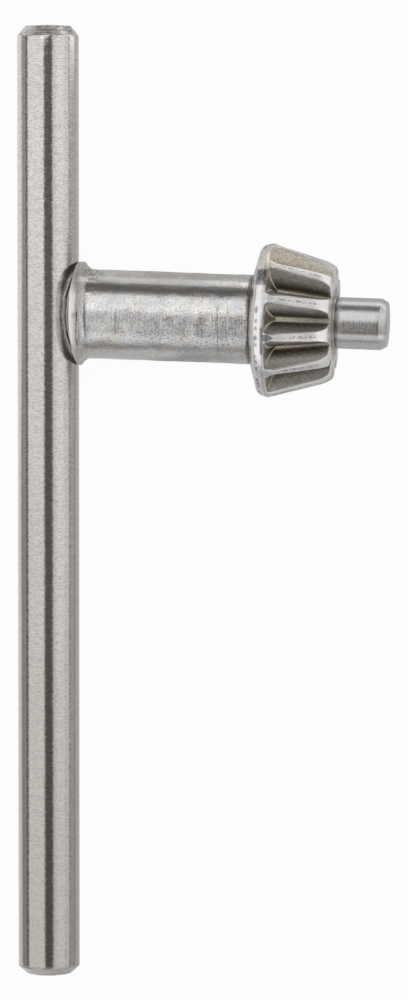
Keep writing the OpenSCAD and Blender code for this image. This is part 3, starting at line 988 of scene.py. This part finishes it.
    def front(self, shade):
        """The pale front face, with a painted brown shade round the collar and a painted highlight on its edge,
        and the mottled pin with a painted dark reflection along its top.
        """
        x, side, radius = self.x, self.side, self.radius
        face_x, collar_radius = self.form.face_x, self.form.collar_radius
        face = x.rise(face_x - 0.15, face_x) * (1 - self.space)
        # Painted shade: brown darkening on the face round the collar, in the corner where it meets the pin
        collar_shade = radius.rise(collar_radius + 1.6, collar_radius + 0.4) * face
        # Painted highlight: a pale gold line on the collar's front edge
        line = x.band(face_x + 0.1, face_x + 0.25, 0.04) * radius.rise(collar_radius + 0.15, collar_radius)
        # Painted reflection: a dark band along the top of the pin, in the flank colour, broken by specks
        painted_dark_reflection = side.rise(1.4, -0.8) * side.rise(-1.35, -0.95) * self.top
        pin_shade = self.graph.lay(
            "pin_colour",
            (self.patches.rise(0.4, 0.6), "key_cool"),
            (0.2 * self.grain.rise(0.46, 0.62), "flank_colour"),
            (painted_dark_reflection * (0.55 + 0.4 * self.specks.rise(0.4, 0.6)), "flank_colour"))
        return self.graph.lay(
            shade,
            (0.7 * face, "worn_and_highlight_colour"),
            (0.75 * collar_shade, "oil_colour"),
            (0.7 * line, "root_dirt_and_light_colour"),
            (self.pin, pin_shade))

    def finish(self):
        """Lays the zones over one another and ends the material. Dirt is less metallic and rougher."""
        form, x, pin = self.form, self.x, self.pin
        shade = self.front(self.spaces(self.rim(self.weld(self.shank()))))
        scale = 0.6 * x.band(form.back_arc[0, 0], form.back_arc[3, 0], 0.15)
        scale = scale.most(0.3 * x.band(form.land_x + 0.15, form.land_x + 0.7, 0.4))
        scale = scale.most(0.5 * x.band(form.face_x, form.face_x + 0.2, 0.1))
        dirt = scale.most(self.space * (0.8 * self.root).most(0.7 * self.dry))
        lip = x.rise(form.land_x + 0.5, form.land_x)
        forged_roughness = 0.13 + 0.08 * self.lumps + 0.1 * self.grain
        pin_roughness = 0.2 + 0.14 * self.turned
        roughness = forged_roughness * (1 - pin) + pin_roughness * pin
        roughness = roughness + 0.2 * self.space + 0.12 * self.edge + 0.15 * lip
        cut = self.graph.bump(self.turned, depth=0.012)
        forged = (0.4 * self.lumps + 0.6 * self.grain) * (1 - 0.7 * pin)
        normal = self.graph.bump(forged, depth=0.035, normal=cut)
        self.graph.steel(shade, 1 - dirt, roughness, normal)
        return self.material


class ChuckKeyColours(bpy.types.PropertyGroup):
    """The colours of both steels, their dirt, and the painted light and shade on them"""

    bar_colour: colour("Bar steel", "Colour of the ground bar", 0.79, 0.76, 0.725)
    # Painted shade: the darker colour that the bar fades to at its long end
    bar_tint: colour("Bar tint", "Colour that the bar drifts to at its long end", 0.54, 0.51, 0.465)
    score_colour: colour("Score", "Colour of the deeper grinding marks", 0.34, 0.33, 0.325)
    torn_colour: colour("Torn end", "Colour of the torn streaks on the bar's ends", 0.16, 0.15, 0.15)
    key_colour: colour("Key steel", "Colour of the forged key", 0.80, 0.785, 0.765)
    key_tint: colour("Key tint", "Warm colour in the key's mottling", 0.72, 0.66, 0.565)
    key_cool: colour("Key cool tint", "Cool colour in the key's mottling", 0.70, 0.69, 0.71)
    pin_colour: colour("Pin", "Colour of the polished pin", 0.72, 0.715, 0.71)
    # Also the colour of a painted highlight along the top of the shank
    worn_and_highlight_colour: colour("Worn edge", "Colour of the edges that rub", 0.95, 0.935, 0.91)
    # Also the colour of painted shade on the belt and the arrows
    facet_and_shade_colour: colour("Facet", "Colour of the dull steel on the belt", 0.24, 0.24, 0.26)
    # Also the colour of a painted shade in the crevice beside the lap
    oxide_colour: colour("Oxide", "Colour of scale in the pits", 0.06, 0.055, 0.05)
    # Painted shade: the dark colour laid on the weld under the lip
    weld_shade_colour: colour("Burnt", "Colour of the burnt steel at the weld", 0.10, 0.085, 0.065)
    # Also the colour of painted shade deep in the tooth spaces and round the collar
    oil_colour: colour("Oil", "Colour of the oily film in the tooth spaces", 0.14, 0.12, 0.095)
    # Also the colour of a painted dark reflection along the pin
    flank_colour: colour("Flank", "Colour of the tooth flanks", 0.33, 0.31, 0.28)
    # Also painted light on the arrows far to the key's left, and a painted highlight on the collar's edge
    root_dirt_and_light_colour: colour("Root", "Colour of the dirt at the tooth roots", 0.90, 0.84, 0.70)


class StudioSizes(bpy.types.PropertyGroup):
    """The sizes and light of the studio"""

    lamp_distance: length("Lamp distance", "From the key to the middle of each soft box", 600.0)
    lamp_radiance: level("Lamp radiance", "Brightness of the soft boxes", 0.79)
    room_radiance: level("Room radiance", "Brightness of the dark room round them", 0.13)
    floor_radiance: level("Floor radiance", "Brightness of the floor as metal shows it", 0.34)
    floor_width: length("Floor width", "Side of the square floor", 6000.0)


class CHUCKKEY_OT_bar(bpy.types.Operator):
    """Makes the ground handle bar"""

    bl_idname = "chuckkey.bar"
    bl_label = "Handle bar"

    def execute(self, context):
        sizes = in_mm(context.scene.chuckkey_bar)
        bar = skin("ground_handle_bar", bar_rings(sizes), BAR_AXES)
        bar.data.materials.append(ground_bar_steel(context.scene.chuckkey_colours, sizes))
        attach(bar, "root")
        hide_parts("handle_bar")
        return {"FINISHED"}


class CHUCKKEY_OT_key(bpy.types.Operator):
    """Makes the forged and turned key, with its weld, pinion and pin"""

    bl_idname = "chuckkey.key"
    bl_label = "Key"

    def execute(self, context):
        sizes = in_mm(context.scene.chuckkey_key)
        form = KeyForm(sizes, in_mm(context.scene.chuckkey_bar).bar_radius)
        rings, marks = key_rings(form)
        key = skin("forged_key", rings, KEY_AXES, **marks)
        key.data.materials.append(KeySteel(context.scene.chuckkey_colours, form).finish())
        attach(key, "root")
        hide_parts("key_body")
        return {"FINISHED"}


# Each soft box: its name, the lean of its middle from straight up, towards +X and then along Y, the field
# that it fills across and along, all in degrees, and its share of the lamps' radiance
SOFT_BOXES = (
    ("left_inner_soft_box", (-22.5, -3.0), (15.0, 54.0), 1.0),
    ("left_lower_soft_box", (-22.5, -34.0), (15.0, 8.0), 0.78),
    ("left_outer_soft_box", (-55.0, -3.0), (50.0, 116.0), 1.0),
    ("right_inner_soft_box", (24.5, -3.0), (15.0, 116.0), 0.86),
    ("right_middle_soft_box", (47.0, -3.0), (30.0, 116.0), 1.02),
    ("right_outer_soft_box", (74.0, -3.0), (24.0, 116.0), 0.86),
    ("far_soft_box", (-12.0, 36.0), (26.0, 46.0), 1.15),
    ("near_soft_box", (-6.0, -62.0), (60.0, 34.0), 0.62),
)


class CHUCKKEY_OT_studio(bpy.types.Operator):
    """Lays the floor and sets the lamps, the world and the camera"""

    bl_idname = "chuckkey.studio"
    bl_label = "Studio"

    def execute(self, context):
        studio = context.scene.chuckkey_studio
        lay_floor(studio)
        for name, lean, span, share in SOFT_BOXES:
            hang_soft_box(name, lean, span, share * studio.lamp_radiance, studio.lamp_distance)
        fill_world(context.scene, studio)
        aim_camera(context.scene)
        context.scene.view_settings.view_transform = "Standard"
        return {"FINISHED"}


def lay_floor(studio):
    """A square of pale card under the key, white to the camera, with the key's shadow.

    In the metal's reflections it is grey, paler to the bar's right, and dimmer along a strip on each side of
    the bar. Beside the bar it is near white on the left and pale on the right, and past the bar's short end
    it is white on the right. Towards the short end the strips and the white's outer edge lie further left.
    """
    half = studio.floor_width / 2
    mesh = bpy.data.meshes.new("floor")
    corners = [(-half, -half, 0), (half, -half, 0), (half, half, 0), (-half, half, 0)]
    mesh.from_pydata(corners, [], [(0, 1, 2, 3)])
    floor = bpy.data.objects.new("floor", mesh)
    bpy.context.scene.collection.objects.link(floor)
    material, graph = new_material("pale_card")
    _, (across, along_bar, _) = graph.local(Axes((BAR_AXES.origin[0], 0, 0), *np.eye(3)))
    right = across.rise(-5.0, 5.0)
    shifted = across + 8.0 * along_bar.rise(0.0, 35.0)
    strips = abs(shifted).band(15.0, 18.0, 4.0)
    beside = shifted.rise(-17.5, -10.0) * across.rise(13.5, 9.0)
    past_short_end = along_bar.rise(46.0, 56.0) * across.rise(15.0, 20.0)
    mirrored = studio.floor_radiance * (1.05 + 0.45 * right) - 0.12 * strips
    mirrored = mirrored + (0.9 - 0.3 * right - mirrored) * beside
    mirrored = mirrored + (1.2 - mirrored) * past_short_end
    path = graph.tree.nodes.new("ShaderNodeLightPath")
    camera, glossy = (Wire(graph, path.outputs[name]) for name in ("Is Camera Ray", "Is Glossy Ray"))
    card = graph.add("ShaderNodeBsdfDiffuse", {}, Color=(0.8, 0.8, 0.8, 1.0))
    glow = graph.add("ShaderNodeEmission", {}, Color=WHITE, Strength=camera + glossy * mirrored)
    glow_share = 0.965 * camera + 0.9 * glossy
    surface = graph.add("ShaderNodeMixShader", {}, glow_share, card, glow)
    graph.add("ShaderNodeOutputMaterial", {}, Surface=surface)
    mesh.materials.append(material)


def hang_soft_box(name, lean, span, radiance, distance):
    """A soft box that faces the key and fills a field of the angles in span.

    Its sides are 2 * distance * tan(span / 2), and its power is radiance * pi * area.
    """
    across, forward = (math.tan(math.radians(value)) for value in lean)
    to_box = Vector((across, forward, 1.0)).normalized()
    lamp = bpy.data.lights.new(name, "AREA")
    lamp.shape = "RECTANGLE"
    lamp.size, lamp.size_y = (2 * distance * math.tan(math.radians(value) / 2) for value in span)
    lamp.energy = radiance * math.pi * lamp.size * lamp.size_y
    box = bpy.data.objects.new(name, lamp)
    bpy.context.scene.collection.objects.link(box)
    right = Vector((0.0, 1.0, 0.0)).cross(to_box).normalized()
    box.matrix_world = Matrix((right, to_box.cross(right), to_box)).transposed().to_4x4()
    box.location = distance * to_box
    box.visible_camera = False


def fill_world(scene, studio):
    """A dim room all round, white to the camera."""
    world = bpy.data.worlds.new("studio")
    scene.world = world
    graph = Graph(world)
    camera = graph.add("ShaderNodeLightPath", {}, output="Is Camera Ray")
    room = graph.add("ShaderNodeBackground", {}, Color=WHITE, Strength=studio.room_radiance)
    white = graph.add("ShaderNodeBackground", {}, Color=WHITE, Strength=1.0)
    surface = graph.add("ShaderNodeMixShader", {}, camera, room, white)
    graph.add("ShaderNodeOutputWorld", {}, Surface=surface)


def aim_camera(scene):
    """A long lens nearly straight above the key, fitted to the outline in the photograph."""
    camera = bpy.data.cameras.new("camera")
    camera.sensor_fit = "VERTICAL"
    camera.sensor_height = 36.0
    camera.lens = 188.9
    camera.clip_end = 10.0
    holder = bpy.data.objects.new("camera", camera)
    bpy.context.scene.collection.objects.link(holder)
    right = Vector((0.99994389, 0.00115762, -0.01052937))
    back = Vector((0.01045357, 0.05280225, 0.99855027))
    up = back.cross(right)
    holder.matrix_world = Matrix((right, up, back)).transposed().to_4x4()
    holder.location = Vector((6.5935, 32.3333, 610.8496)) * MM
    scene.camera = holder


class CHUCKKEY_PT_panel(bpy.types.Panel):
    """Lists the sizes, the colours and the operators"""

    bl_label = "Drill chuck key"
    bl_idname = "CHUCKKEY_PT_panel"
    bl_space_type = "VIEW_3D"
    bl_region_type = "UI"
    bl_category = "Chuck key"

    def draw(self, context):
        for name in GROUPS:
            group = getattr(context.scene, name)
            for value in group.bl_rna.properties.keys():
                if value not in ("rna_type", "name"):
                    self.layout.prop(group, value)
        for operator in OPERATORS:
            self.layout.operator(operator.bl_idname)


GROUPS = {"chuckkey_bar": BarSizes, "chuckkey_key": KeySizes, "chuckkey_colours": ChuckKeyColours,
          "chuckkey_studio": StudioSizes}
OPERATORS = (CHUCKKEY_OT_bar, CHUCKKEY_OT_key, CHUCKKEY_OT_studio)
CLASSES = (*GROUPS.values(), *OPERATORS, CHUCKKEY_PT_panel)


def register():
    """Registers the classes and gives each scene its groups of values."""
    for cls in CLASSES:
        bpy.utils.register_class(cls)
    for name, group in GROUPS.items():
        setattr(bpy.types.Scene, name, PointerProperty(type=group))


def unregister():
    """Takes back what register does."""
    for name in GROUPS:
        delattr(bpy.types.Scene, name)
    for cls in reversed(CLASSES):
        bpy.utils.unregister_class(cls)


def main():
    """Registers the classes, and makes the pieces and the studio."""
    register()
    bpy.ops.chuckkey.bar()
    bpy.ops.chuckkey.key()
    bpy.ops.chuckkey.studio()


if __name__ == "__main__":
    main()
